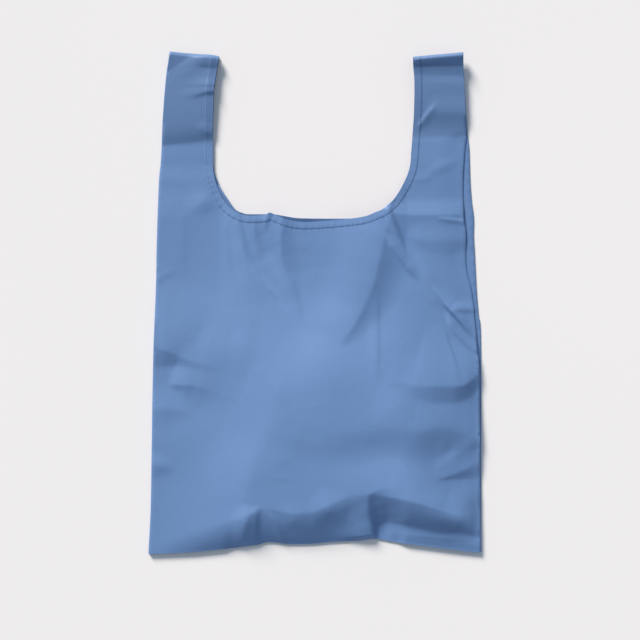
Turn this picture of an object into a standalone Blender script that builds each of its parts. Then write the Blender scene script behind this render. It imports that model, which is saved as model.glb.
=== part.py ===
"""A fold-up carrier bag of thin woven nylon, laid flat with its front upwards.

Two cut halves of cloth make the bag. Each half is one piece: a face, and a strip at each
side that folds in under it as half of the side gusset. Thread joins the halves at the side
seams, along the bottom and at the two handle ends, and holds the turned hem of the neck.
The bag lies in the X-Y plane with its handles towards +Y and its back cloth on Z = 0.
"""
import bpy
import numpy as np
from mathutils import Vector
from mathutils.geometry import delaunay_2d_cdt, intersect_line_line_2d

# Driving sizes, in metres
BAG_WIDTH = 0.390          # across the bottom corners
TOP_WIDTH = 0.3424         # across the outer corners of the two handle ends
BAG_HEIGHT = 0.590         # bottom corner to handle end
NECK_DEPTH = 0.1955        # handle end down to the lowest part of the neck
SEAM_SPACING = 0.228       # between the two side seams, where the gussets end inside
HEM_WIDTH = 0.0085         # turned hem along the neck and the inner handle edges
CLOTH = 0.0004             # thickness of the cloth
GAP = 0.0003               # air between pieces that touch
THREAD = 0.0005            # diameter of the sewing thread
SEAM_INSET = 0.003         # bottom and handle seams run this far inside the edge
BODY_LOFT = 0.012          # how far the middle of the front swells above its sides
MOUTH_GAPE = 0.0080        # extra height of the front edge in the middle of the mouth
FOLD_RISE = 0.0058         # height of the tallest fold above the cloth round it
HANDLE_CURL = 0.0075       # how far the end of the right handle curls off the table
CORNER_CURL = 0.0026       # how far the outer corner of the left handle end curls up

# Levels of the middle of each cloth layer at the sides, from the table up
BACK_LEVEL = CLOTH / 2
THREAD_LEVEL = CLOTH + GAP + THREAD / 2
BACK_GUSSET_LEVEL = BACK_LEVEL + CLOTH + THREAD + 2 * GAP
FRONT_GUSSET_LEVEL = BACK_GUSSET_LEVEL + CLOTH + GAP
FRONT_LEVEL = FRONT_GUSSET_LEVEL + (BACK_GUSSET_LEVEL - BACK_LEVEL)
FRONT_EDGE_LEVEL = BACK_GUSSET_LEVEL      # the front at the bottom edge, between the gussets

# The pattern below is drawn in millimetres from the middle of the bag, at these sizes
DRAWN_HALF_WIDTH = 195.0
DRAWN_HALF_TOP = 171.2
DRAWN_HALF_HEIGHT = 295.0
DRAWN_NECK = 99.5
DRAWN_SEAM = 114.0
DRAWN_RISE = 5.8

# Outline of the cloth, left side and ends first
CURL_START = 277                # a straight crease across the right handle
CORNER_CREASE = ((-173, 271), (-142.8, 292.6))      # across the corner of the left handle
LEFT_SIDE = [(-194.6, -295), (-191.7, -233), (-189.6, -100), (-185.6, 21), (-182.2, 141),
             (-177.7, 215), CORNER_CREASE[0], (-169.3, 294.8)]
LEFT_END = [(-169.3, 294.8), CORNER_CREASE[1], (-135, 292), (-112.3, 289.6)]
LEFT_INNER = [(-112.3, 289.6), (-115.3, 271), (-118, 253), (-119.5, 220), (-119.9, 165)]
RIGHT_INNER = [(114, 183), (116.6, 220), (117.3, 250), (116, CURL_START), (115.4, 288)]
RIGHT_END = [(115.4, 288), (136, 289.9), (173, 293)]
BACK_RIGHT_SIDE = [(173, 293), (174, CURL_START), (176.6, 238), (181.2, 180), (184, 121),
                   (187.4, 62), (192, -13), (195, -60), (195, -293.2)]
FRONT_RIGHT_SIDE = [(173, 293), (173.8, CURL_START), (175.8, 238), (177.8, 200), (174, 150),
                    (174.6, 97), (177.7, 43), (183.7, 16), (187.5, -18), (190.8, -60), (194, -293.2)]
BOTTOM = [(-194.6, -295), (-147.8, -293), (-97, -288), (-66, -284), (-50, -281), (-33, -283.2),
          (0, -282.5), (35, -280), (71.7, -277.2), (98, -281.5), (137, -286.5), (166, -290.4),
          (195, -293.2)]
FRONT_NECK = [(-119.9, 165), (-119, 155), (-113.7, 135), (-105.8, 119), (-96.3, 109.5), (-84, 103.4),
              (-68, 102.6), (-57, 103.5), (-52.7, 105.6), (-46, 103.2), (-31.7, 97.6), (-12, 94.8),
              (8, 95.6), (30, 97.3), (50, 99.6), (64, 103), (78, 109), (94.6, 124), (105.1, 142),
              (111.8, 162), (114, 183)]
BACK_NECK = [(-119.9, 165), (-117.6, 151), (-110.4, 135), (-101.3, 121), (-92.9, 109.6),
             (-79, 104), (-50, 104.2), (-24.5, 100), (6, 99.4), (50, 99.5), (64, 103), (78, 109),
             (94.6, 124), (105.1, 142), (111.8, 162), (114, 183)]

# Where the body turns down to its bottom edge, and the width of the flat strip below that
FOOT_WIDTH = 22.0
BOTTOM_TURN = [(-196, -288), (-150, -271), (-120, -262), (-100, -255), (-80, -249), (-67, -241),
               (-45, -242), (-24, -246), (0, -244), (18, -236), (40, -226), (65, -223), (88, -226),
               (114, -232), (133, -237), (147, -242), (168, -249), (196, -274)]

# The shape of a fold's flank, from its crest at 0 to its foot at 1
FLANKS = {
    "flat": lambda u: 1 - np.clip(u, 0, 1),
    "hollow": lambda u: (1 - np.clip(u, 0, 1)) ** 2,
    "round": lambda u: 1 - np.clip(u, 0, 1) ** 2,
    "soft": lambda u: 1 - ease(u),
}

# Broad swells of the front cloth. Each has a crest, as points (x, y, rise), and the widths
# over which the cloth falls away softly on its left and on its right, seen along the crest.
SWELLS = {
    "bottom roll": (
        [(-40, -252, 0), (0, -246, 0.6), (20, -240, 1.4), (42, -229, 2.6), (65, -223, 3.6),
         (88, -229, 4.6), (114, -236, 5), (140, -245, 5), (168, -254, 3.6), (200, -272, 0)],
        90, [20, 24, 28, 34, 40, 42, 36, 28, 20, 14]),
    "lower right ridge": (
        [(-10, -146, 0), (40, -140, 0.6), (78, -126, 1.4), (100, -110, 1.4), (122, -94, 0)],
        120, 36),
    "lower right swell": (
        [(-20, -154, 0), (8, -152, 2.2), (30, -149, 3.8), (60, -144, 5), (84, -141, 5.6),
         (104, -143, 5.8), (120, -146, 5.6), (138, -146, 5.2), (156, -145, 4.8), (172, -149, 3.8),
         (204, -162, 2)],
        170, [38, 42, 44, 44, 44, 44, 44, 42, 42, 38, 32]),
    "right low edge": ([(176, -210, 0), (180, -230, 2), (181, -250, 2), (184, -272, 0)], 22, 70),
    "funnel right": (
        [(60, -16, 0), (42, -44, 2.2), (16, -70, 3.2), (-6, -106, 3), (-18, -140, 1.8),
         (-26, -172, 0)],
        76, 60),
    "middle right ridge": (
        [(84, 104, 0), (72, 78, 1.4), (64, 50, 2), (56, 22, 2.4), (48, 2, 2.2), (36, -18, 1.6),
         (20, -40, 0)],
        44, 70),
    "centre rise": (
        [(-140, -52, 0), (-90, -62, 2.2), (-40, -88, 3.4), (10, -86, 2.6), (50, -64, 0)],
        90, 100),
    "left brow": (
        [(-176, -42, 0), (-144, -45, 1.6), (-112, -47, 2.2), (-86, -50, 1.4), (-68, -52, 0)],
        90, [40, 60, 64, 60, 40]),
    "middle low brow": (
        [(-100, -108, 0), (-74, -112, 0.8), (-46, -118, 0.5), (-14, -112, 0)],
        40, 46),
    "lower left rise": (
        [(-110, -240, 0), (-84, -218, 1.1), (-56, -200, 2.2), (-34, -182, 2.6), (-18, -160, 2.5),
         (-8, -136, 1.4), (-2, -108, 0)],
        70, 130),
    "left body": ([(-196, -150, 1.4), (-160, -160, 1.6), (-120, -170, 0)], 50, 60),
    "right handle low swell": ([(104, 158, 0.5), (150, 158, 0.5), (190, 160, 0.5)], 34, 36),
    "left shoulder swell": ([(-188, 170, 0.9), (-150, 174, 0.9), (-112, 178, 0.7)], 50, 40),
    "left shoulder spot": ([(-136, 132, 0), (-128, 118, 1.6), (-124, 104, 0)], 14, 30),
    "left handle diagonal": (
        [(-166, 268, 0), (-152, 274, 1), (-138, 283, 1), (-124, 292, 0)],
        16, 16),
    "right body": ([(70, 60, 0), (100, 10, 1.6), (110, -40, 1.6), (104, -90, 0)], 60, 60),
}

# Creases of the front cloth, with the shape of each flank before its widths.
FOLDS = {
    "bottom right roll": (
        [(30, -238, 0), (48, -231, 0.6), (65, -224, 1.2), (88, -230.5, 2.2), (114, -237, 2.6),
         (133, -244.5, 3), (147, -251, 3.2), (168, -254, 3), (181, -263, 1.6), (197, -275, 0)],
        ("soft", [50, 60, 60, 60, 50, 40, 32, 28, 22, 14]),
        ("round", [20, 30, 36, 34, 30, 24, 19, 17, 12, 6])),
    "bottom right tuck": (
        [(62, -232, 0), (62.5, -240, 1), (64, -252, 2.8), (66, -264, 4.4), (68.5, -284, 5.6)],
        ("flat", 7), ("soft", [20, 30, 40, 46, 46])),
    "bottom right tuck floor": (
        [(65, -222, 0), (69, -231, -2.6), (72, -242, -4.2), (74, -254, -3.8), (76, -266, -2),
         (78, -280, 0)],
        ("soft", [30, 36, 40, 40, 30, 20]), ("flat", 8)),
    "bottom right band": (
        [(76, -262, 0), (92, -264, 1.6), (112, -267, 2.4), (147, -270, 2.8), (176, -272, 2.8),
         (200, -278, 2.4)],
        ("soft", 34), ("soft", 22)),
    "bottom right band line": (
        [(96, -272, 0), (120, -273, 0.4), (150, -276, 0.5), (186, -278, 0)],
        ("flat", 4), ("flat", 4)),
    "bottom left peak": (
        [(-66, -238, 0), (-67.5, -246, 1.6), (-69, -258, 2.2), (-70.5, -284, 2)],
        ("flat", 5), ("soft", 30)),
    "bottom left flank": (
        [(-70, -242, 0), (-80, -256, 1.2), (-84, -270, 1.4), (-88, -288, 1)],
        ("flat", 9), ("soft", 26)),
    "bottom left facet": (
        [(-60, -243, 0), (-48, -253, 1.2), (-42, -266, 1.5), (-36, -284, 1.2)],
        ("flat", 6), ("hollow", 26)),
    "bottom middle peak": (
        [(-44, -272, 0), (-26, -256, 1.2), (-6, -262, 0.4), (17, -243, 1.8), (34, -252, 0.8),
         (54, -262, 0)],
        ("soft", 30), ("flat", 16)),
    "lower right band": (
        [(84, -90, 0), (104, -93, 1), (120, -96.5, 3), (138, -97.5, 4.8), (165, -97.5, 5.8),
         (177, -95, 5.4), (200, -79, 3)],
        ("soft", [50, 60, 70, 80, 80, 70, 50]), ("flat", [14, 18, 20, 21, 20, 16, 12])),
    "lower right swell crest": (
        [(70, -148, 0), (90, -146, 1), (106, -147, 1.8), (120, -150, 2.4), (138, -147, 2.6),
         (156, -147, 2.4), (172, -152, 1.8), (198, -162, 0.8)],
        ("soft", 60), ("flat", [30, 38, 40, 39, 36, 32, 24, 16])),
    "lower right swell foot": (
        [(60, -190, 0), (90, -187, 0.8), (120, -186, 1.2), (150, -184, 1), (172, -176, 0)],
        ("flat", 26), ("soft", 40)),
    "right edge wedge": (
        [(140, -207.6, 0), (156, -203, 1.2), (172, -197, 2.4), (204, -184, 4.2)],
        ("soft", [20, 50, 60, 70]), ("flat", [3, 6, 11.5, 25])),
    "right edge light": (
        [(140, -196, 0), (158, -186, 0.6), (176, -172, 0.7), (200, -156, 0.5)],
        ("soft", 14), ("hollow", 14)),
    "right deep crease": (
        [(138, 20, 0), (146, 9, 1.6), (154, -3, 4), (161, -11, 4.8), (169, -20, 4),
         (178, -31, 2.4), (188, -44, 0)],
        ("hollow", 18), ("flat", [2.5, 2.4, 2.4, 2.4, 2.6, 3, 3])),
    "right second crease": (
        [(155, -10, 0), (160, -25, 2), (172, -42, 2), (190, -60, 0)],
        ("hollow", 10), ("flat", 4)),
    "right short fold": (
        [(160, -7, 0), (170, -7.5, 1.1), (198, -8, 1.4)],
        ("soft", 12), ("flat", 5)),
    "right low facet": (
        [(118, 60, 0), (134, 34, 1.4), (146, 8, 1.2), (152, -8, 0)],
        ("hollow", 12), ("soft", 20)),
    "neck right streak": (
        [(85, 110, 4.6), (91, 96, 4), (98, 79, 2.2), (107, 58, 0)],
        ("flat", [5, 6, 7, 5]), ("flat", [5, 6, 7, 5])),
    "neck right thin crease": (
        [(84, 80, 0), (91, 67, 2.4), (100, 54, 3), (110, 40, 2.4), (121, 27, 0)],
        ("soft", 14), ("flat", 5)),
    "middle right crease": (
        [(89, 104, 1), (82, 78, 3.2), (76, 50, 4.4), (69, 22, 4.6), (61, 2, 4), (51, -18, 3),
         (40, -36, 1.6), (28, -50, 0)],
        ("hollow", [24, 32, 36, 36, 30, 24, 20, 14]), ("soft", 60)),
    "storage crease": (
        [(72, 16, 0), (73, -10, 0.8), (73, -60, 0.7), (73, -98, 0)],
        ("flat", 4), ("soft", 16)),
    "shoulder pleat": (
        [(84, 105, 0.8), (105, 103.5, 2.4), (140, 103, 2.8), (186, 104, 2.8)],
        ("flat", 18), ("hollow", 34)),
    "shoulder fold": (
        [(108, 80, 0), (122, 74, 1.2), (140, 72.5, 1.7), (160, 72.5, 1.9), (188, 74, 1.5)],
        ("soft", 30), ("flat", [5, 9, 16, 16, 9])),
    "shoulder nick": ([(140, 99, 0), (156, 98, 1.2), (188, 94, 1.6)], ("flat", 3), ("hollow", 8)),
    "right handle wrinkle": (
        [(172, 168, 0), (158, 163, 0.5), (146, 158, 0.7), (130, 150, 0)],
        ("soft", 9), ("soft", 12)),
    "right handle nook": (
        [(140, 148, 0), (132, 146, 0.5), (122, 145, 0.5), (112, 146, 0)],
        ("soft", 6), ("soft", 10)),
    "right handle upper swell": (
        [(100, 254, 4), (150, 254, 4.2), (194, 254, 4.2)],
        ("soft", 300), ("round", 58)),
    "right handle step": (
        [(128, 226, 0), (146, 223, 1.4), (188, 222, 1.4)],
        ("soft", 26), ("hollow", 20)),
    "right handle diagonal": (
        [(119, 204, 0), (124, 210, 1.3), (131, 219, 1.6), (138, 228, 1), (143, 235, 0)],
        ("flat", 4), ("hollow", 12)),
    "right handle low ridge": (
        [(104, 277.5, 1.6), (140, 277.5, 1.9), (190, 276.5, 1.9)],
        ("soft", 300), ("flat", 10)),
    "right handle low rise": (
        [(124, 259, 0), (140, 258, 0.5), (188, 257, 0.5)],
        ("soft", 8), ("soft", 20)),
    "neck left gather 1": (
        [(-86, 100, -1), (-77, 66, -2.8), (-70, 47, -3.4), (-62, 32, -2.8), (-54, 19, -1.8),
         (-44, 4, -0.8), (-34, -14, 0)],
        ("soft", 44), ("flat", [6, 8, 9, 10, 9, 7, 6])),
    "neck left gather 2": (
        [(-70, 96, 0), (-64, 78, -2.2), (-57, 60, -3), (-50, 46, -2), (-43, 30, -0.8), (-38, 16, 0)],
        ("soft", 30), ("flat", [4, 8, 9, 8, 6, 5])),
    "neck left gather 3": (
        [(-20, 100, -2.8), (-18, 78, -4), (-17, 56, -4.2), (-16, 38, -3.6), (-14, 22, -2.4),
         (-12, 0, -1), (-10, -24, 0)],
        ("soft", 66), ("round", [20, 22, 22, 20, 16, 12, 10])),
    "neck left gather 4": (
        [(-79, 58, 0), (-70, 40, 0.8), (-62, 27, 1.2), (-52, 15, 1), (-40, 5, 0)],
        ("flat", 4), ("soft", 7)),
    "neck left gather 5": (
        [(-53, 106, 1.8), (-56, 96, 1.2), (-59, 84, 0)],
        ("flat", 5), ("soft", 8)),
    "neck left faint fold": (
        [(-101, 94, 0), (-97, 74, -0.9), (-92, 44, -1), (-85, 18, 0)],
        ("soft", 30), ("round", 9)),
    "left brow crease": (
        [(-96, -36, 0), (-80, -52, 1), (-62, -82, 1.4), (-46, -102, 1), (-30, -120, 0)],
        ("hollow", 40), ("hollow", 40)),
    "diagonal ridge": (
        [(-12, -134, 0), (-20, -160, 0.4), (-30, -180, 0.5), (-48, -190, 0.5), (-66, -204, 0.3),
         (-86, -217, 0)],
        ("hollow", [20, 28, 32, 32, 28, 20]), ("soft", 44)),
    "middle low line": (
        [(-62, -204, 0), (-40, -205, 0.3), (-14, -206, 0)],
        ("soft", 10), ("flat", 7)),
    "left notch": (
        [(-204, -50, 5.6), (-186, -53, 5.4), (-172, -57, 4.6), (-158, -63, 3), (-146, -68, 1.6),
         (-128, -74, 0.7), (-104, -80, 0)],
        ("soft", 90), ("flat", [28, 24, 21, 15, 12, 12, 12])),
    "left notch wedge": (
        [(-172, -96, 0), (-163, -96.5, 1.8), (-150, -97, 3.4), (-134, -99, 3), (-112, -106, 1.2),
         (-88, -114, 0)],
        ("soft", [24, 32, 56, 80, 80, 60]), ("hollow", [6, 12, 24, 34, 34, 30])),
    "left triangle foot": (
        [(-204, -125, 2), (-176, -126, 1.8), (-160, -127, 1.2), (-140, -131, 0)],
        ("soft", 34), ("hollow", [30, 28, 24, 16])),
    "left edge ripple 1": (
        [(-198, 36, 0.8), (-184, 41, 0.5), (-176, 44, 0)],
        ("hollow", 8), ("flat", 4)),
    "left edge ripple 2": (
        [(-196, 18, 0.8), (-184, 27, 0.7), (-172, 34, 0.5), (-160, 35, 0)],
        ("soft", 14), ("flat", 5)),
    "left edge ripple 3": (
        [(-204, -190, 2.2), (-184, -192, 1.8), (-164, -195, 0)],
        ("soft", 20), ("flat", 15)),
    "left edge tick": ([(-200, -208, 0.8), (-186, -209, 0)], ("hollow", 4), ("hollow", 4)),
    "left strip": (
        [(-156, 104, 0), (-154, 84, 0.4), (-153, 58, 0.4), (-153, 36, 0)],
        ("flat", 4), ("soft", 24)),
    "left shoulder facet": (
        [(-204, 103, 1.8), (-176, 101, 1.6), (-154, 100, 1.4), (-143, 106, 1.1), (-132, 118, 0.8),
         (-120, 134, 0)],
        ("soft", [40, 40, 40, 38, 34, 30]), ("hollow", [60, 70, 84, 60, 34, 20])),
    "left handle upper swell": (
        [(-192, 252, 3), (-150, 254, 3.2), (-104, 258, 3.4)],
        ("soft", 300), ("round", 67)),
    "left handle spot": (
        [(-142, 206, 0), (-132, 203, 1), (-124, 200, 1.2), (-116, 198, 1)],
        ("soft", 14), ("flat", [4, 9, 10, 8])),
    "left handle crease": (
        [(-156, 242, 0), (-140, 244, 1), (-128, 247, 1.7), (-110, 248, 2.6)],
        ("soft", [30, 30, 24, 20]), ("flat", [7, 6, 4.5, 2.5])),
    "left handle end fold": (
        [(-144, 287, 0), (-132, 288, 2), (-106, 289, 2.6)],
        ("flat", 8), ("round", [12, 13.5, 14.5])),
    "left handle valley": (
        [(-190, 204, 1.8), (-160, 208, 2.2), (-134, 212, 2.4), (-110, 215, 2)],
        ("soft", 70), ("round", 21)),
}

# How finely the drawing is followed, in drawn millimetres
SIDE_STEP = 13.0
PLAIN_STEP = 26.0
CREST_STEP = 10.0
GRID_STEPS = (26.0, 13.0, 6.5)
BEND_LIMITS = (0.0, 0.45, 0.34)       # a finer grid point is used where the cloth bends more
CROWDING = 0.62                       # no point lies nearer to another than this share of a step

CLOTH_COLOUR = (0.150, 0.262, 0.497)
THREAD_COLOUR = (0.085, 0.150, 0.310)


def clear_scene():
    for old in list(bpy.data.objects):
        bpy.data.objects.remove(old, do_unlink=True)


def make_material(name, colour, roughness):
    material = bpy.data.materials.new(name)
    material.use_nodes = True
    shader = material.node_tree.nodes["Principled BSDF"]
    shader.inputs["Base Color"].default_value = (*colour, 1.0)
    shader.inputs["Roughness"].default_value = roughness
    shader.inputs["Metallic"].default_value = 0.0
    return material


def ease(t):
    """Go smoothly from 0 to 1 as t does."""
    t = np.clip(t, 0.0, 1.0)
    return t * t * (3.0 - 2.0 * t)


def place(x, y):
    """Turn a drawn point into its place on the bag, in metres."""
    share = (y + DRAWN_HALF_HEIGHT) / (2 * DRAWN_HALF_HEIGHT)
    drawn_half = DRAWN_HALF_WIDTH + (DRAWN_HALF_TOP - DRAWN_HALF_WIDTH) * share
    real_half = (BAG_WIDTH + (TOP_WIDTH - BAG_WIDTH) * share) / 2
    across = np.abs(x)
    middle = across * (SEAM_SPACING / 2) / DRAWN_SEAM
    outer_share = (across - DRAWN_SEAM) / (drawn_half - DRAWN_SEAM)
    outer = SEAM_SPACING / 2 + outer_share * (real_half - SEAM_SPACING / 2)
    real_x = np.sign(x) * np.where(across < DRAWN_SEAM, middle, outer)
    neck = BAG_HEIGHT / 2 - NECK_DEPTH
    above = neck + (y - DRAWN_NECK) * NECK_DEPTH / (DRAWN_HALF_HEIGHT - DRAWN_NECK)
    below = neck - (DRAWN_NECK - y) * (neck + BAG_HEIGHT / 2) / (DRAWN_NECK + DRAWN_HALF_HEIGHT)
    return real_x, np.where(y > DRAWN_NECK, above, below)


def spaced(points, step):
    """Points along a line of straight runs, at most a step apart, with its corners kept."""
    out = [points[0]]
    for start, end in zip(points, points[1:]):
        length = np.hypot(end[0] - start[0], end[1] - start[1])
        count = max(1, int(np.ceil(length / step)))
        for i in range(1, count + 1):
            out.append(tuple(a + (b - a) * i / count for a, b in zip(start, end)))
    return out


def tapered(widths, taper):
    """Widths of a flank along its crest, where only the narrow ones taper."""
    widths = np.broadcast_to(np.array(widths, float), len(taper))
    return widths * (taper + (1 - taper) * np.clip(widths / 20 - 1, 0, 1))


def fold_height(fold, x, y):
    """Height that one fold adds at the drawn points x, y: a crest with two flanks that taper."""
    crest, (left_shape, left), (right_shape, right) = fold
    crest = np.array(crest, float)
    rises = np.abs(crest[:, 2])
    taper = 0.25 + 0.75 * np.sqrt(rises / rises.max())
    left = tapered(left, taper)
    right = tapered(right, taper)
    nearest = np.full(x.shape, np.inf)
    height = np.zeros(x.shape)
    for i in range(len(crest) - 1):
        (ax, ay, a_rise), (bx, by, b_rise) = crest[i], crest[i + 1]
        run_x, run_y = bx - ax, by - ay
        t = np.clip(((x - ax) * run_x + (y - ay) * run_y) / (run_x ** 2 + run_y ** 2), 0, 1)
        distance = np.hypot(x - ax - t * run_x, y - ay - t * run_y)
        on_left = run_x * (y - ay) - run_y * (x - ax) > 0
        left_share = distance / (left[i] + t * (left[i + 1] - left[i]))
        right_share = distance / (right[i] + t * (right[i + 1] - right[i]))
        share = np.where(on_left, FLANKS[left_shape](left_share), FLANKS[right_shape](right_share))
        height = np.where(distance < nearest, (a_rise + t * (b_rise - a_rise)) * share, height)
        nearest = np.minimum(nearest, distance)
    return height


def all_folds():
    """Every swell and fold of the front, with the shapes and widths of both flanks."""
    swells = [(crest, ("soft", left), ("soft", right)) for crest, left, right in SWELLS.values()]
    return swells + list(FOLDS.values())


def edge_y(line, x):
    """Height up the drawing of an edge that runs across it."""
    line = sorted(line)
    return np.interp(x, [p[0] for p in line], [p[1] for p in line])


def edge_x(line, y):
    """Place across the drawing of an edge that runs up it."""
    line = sorted(line, key=lambda p: p[1])
    return np.interp(y, [p[1] for p in line], [p[0] for p in line])


def past_corner(x, y):
    """How far a drawn point lies past the crease across the left handle's corner."""
    (ax, ay), (bx, by) = CORNER_CREASE
    return ((bx - ax) * (y - ay) - (by - ay) * (x - ax)) / np.hypot(bx - ax, by - ay)


def lift(x, y):
    """Height of the curled handle ends, which all the layers share, in metres."""
    x, y = np.asarray(x, float), np.asarray(y, float)
    right = np.clip((y - CURL_START) / (RIGHT_END[-1][1] - CURL_START), 0, None)
    left = np.clip(past_corner(x, y) / past_corner(*LEFT_SIDE[-1]), 0, None)
    return np.where(x > 0, HANDLE_CURL * right, CORNER_CURL * left)


def front_height(x, y):
    """Height of the middle of the front cloth above the table, in metres."""
    x, y = np.asarray(x, float), np.asarray(y, float)
    half = np.where(x < 0, -edge_x(LEFT_SIDE, y), edge_x(FRONT_RIGHT_SIDE, y))
    from_side = half - np.abs(x)
    from_bottom = y - edge_y(BOTTOM, x)
    top = np.where(x < 0, edge_y(LEFT_END, x), edge_y(RIGHT_END, x))
    from_top = np.where(y > DRAWN_NECK + 40, top - y, 100.0)
    folds = sum(fold_height(fold, x, y) for fold in all_folds())
    folds = folds * (1 - 0.25 * (1 - ease(from_side / 14)) * ease((150 - y) / 20))
    folds = folds * np.clip(from_bottom / 5, 0, 1) * np.clip(from_top / 2.5, 0, 1)
    from_inner = edge_x(LEFT_INNER, y) - x
    folds = folds * (1 - 0.2 * (1 - ease(from_inner / 8)) * (x < 0) * ease((y - 150) / 30))
    rise = edge_y(BOTTOM_TURN, x) - edge_y(BOTTOM, x)
    flat_part = FOOT_WIDTH * ease((x - 66) / 20) * ease((200 - x) / 30)
    turned = np.clip((from_bottom - flat_part) / (rise - flat_part), 0, 1)
    rounding = 0.2 + 0.35 * ease((68 - x) / 10) + 0.25 * ease((-60 - x) / 30)
    turned = turned + rounding * turned * (1 - turned)
    lower = ease((-80 - y) / 160)
    left_side = 182 + (90 + 38 * ease((-40 - x) / 60) - 182) * lower
    side = np.where(x < 0, left_side, 112 - 27 * lower)
    swell = ease(from_side / side) * turned * (1 - ease((y + 170) / 330))
    between_gussets = ease((DRAWN_SEAM - 5 - np.abs(x)) / 14)
    low = between_gussets * (1 - np.clip(from_bottom / rise, 0, 1))
    gape = np.clip(1 - (x / 108) ** 2, 0, 1) * ease((y + 5) / 95)
    height = (FRONT_LEVEL - (FRONT_LEVEL - FRONT_EDGE_LEVEL) * low + BODY_LOFT * swell
              + MOUTH_GAPE * gape + FOLD_RISE / DRAWN_RISE * folds)
    return np.maximum(height, FRONT_EDGE_LEVEL) + lift(x, y)


def flat_height(level):
    """Height function of a layer that lies flat, apart from the curled handle ends."""
    return lambda x, y: level + lift(x, y)


def hem_line(neck):
    """Drawn line of the stitches: the inner edge moved into the cloth by the hem's width."""
    edge = spaced(LEFT_INNER[:-1] + neck[:-1] + RIGHT_INNER, CREST_STEP)
    width = HEM_WIDTH * 1000
    highest = min(LEFT_INNER[0][1], RIGHT_INNER[-1][1]) - SEAM_INSET * 1000
    line = []
    for i in range(len(edge)):
        before, after = edge[max(i - 2, 0)], edge[min(i + 2, len(edge) - 1)]
        run = Vector((after[0] - before[0], after[1] - before[1])).normalized()
        x, y = edge[i][0] + run.y * width, edge[i][1] - run.x * width
        if y < highest and (not line or np.hypot(x - line[-1][0], y - line[-1][1]) > CREST_STEP * 0.6):
            line.append((x, y))
    return with_crossings(line)


def with_crossings(line):
    """Give a line that crosses the creases of the curled handle ends a point on each."""
    creases = [CORNER_CREASE, (RIGHT_INNER[-2], BACK_RIGHT_SIDE[1])]
    out = [line[0]]
    for start, end in zip(line, line[1:]):
        for crease in creases:
            point = intersect_line_line_2d(start, end, *crease)
            if point and (point - Vector(end)).length > 0.01 and (point - Vector(start)).length > 0.01:
                out.append(tuple(point))
        out.append(end)
    return out


def inside(outline, x, y):
    """Tell which of the points x, y lie within a closed outline."""
    result = np.zeros(x.shape, bool)
    for (ax, ay), (bx, by) in zip(outline, outline[1:] + outline[:1]):
        if ay == by:
            continue
        crosses = (ay > y) != (by > y)
        result ^= crosses & (x < (bx - ax) * (y - ay) / (by - ay) + ax)
    return result


def fill_points(outline, fixed, height):
    """Points inside an outline: along the crests, then on grids where the cloth bends."""
    kept = np.array(list(outline) + list(fixed), float)
    new = []

    def add(x, y, room):
        nonlocal kept
        if np.min(np.hypot(kept[:, 0] - x, kept[:, 1] - y)) > room:
            kept = np.vstack([kept, (x, y)])
            new.append((float(x), float(y)))

    if height is not None:
        for crest, left, right in FOLDS.values():
            for x, y, rise in spaced(crest, CREST_STEP):
                if inside(outline, np.array([x]), np.array([y]))[0]:
                    add(x, y, CREST_STEP * 0.45)
    for step, limit in zip(GRID_STEPS, BEND_LIMITS):
        if height is None and limit > 0:
            break
        rows = np.arange(-DRAWN_HALF_HEIGHT, DRAWN_HALF_HEIGHT, step * 0.866)
        for row, y in enumerate(rows):
            xs = np.arange(-DRAWN_HALF_WIDTH, DRAWN_HALF_WIDTH, step) + (row % 2) * step / 2
            ys = np.full(xs.shape, y)
            chosen = inside(outline, xs, ys)
            if limit > 0:
                reach = step / 2
                bend = sum(np.abs(height(xs + a, ys + b) + height(xs - a, ys - b) - 2 * height(xs, ys))
                           for a, b in ((reach, 0), (0, reach)))
                chosen &= bend * 1000 > limit
            for x in xs[chosen]:
                add(x, y, step * CROWDING)
    return new


def triangulate(outline, lines, points):
    """Triangles that fill an outline, with the given lines as edges and points as corners."""
    corners = [Vector(p) for p in outline]
    count = len(outline)
    edges = []
    for line in lines:
        edges += [(len(corners) + i, len(corners) + i + 1) for i in range(len(line) - 1)]
        corners += [Vector(p) for p in line]
    corners += [Vector(p) for p in points]
    flat, _, faces, origins, _, _ = delaunay_2d_cdt(corners, edges, [list(range(count))], 1, 0.001)
    index = {source: i for i, sources in enumerate(origins) for source in sources}
    return [tuple(v) for v in flat], [tuple(f) for f in faces], [index[i] for i in range(count)]


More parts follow.
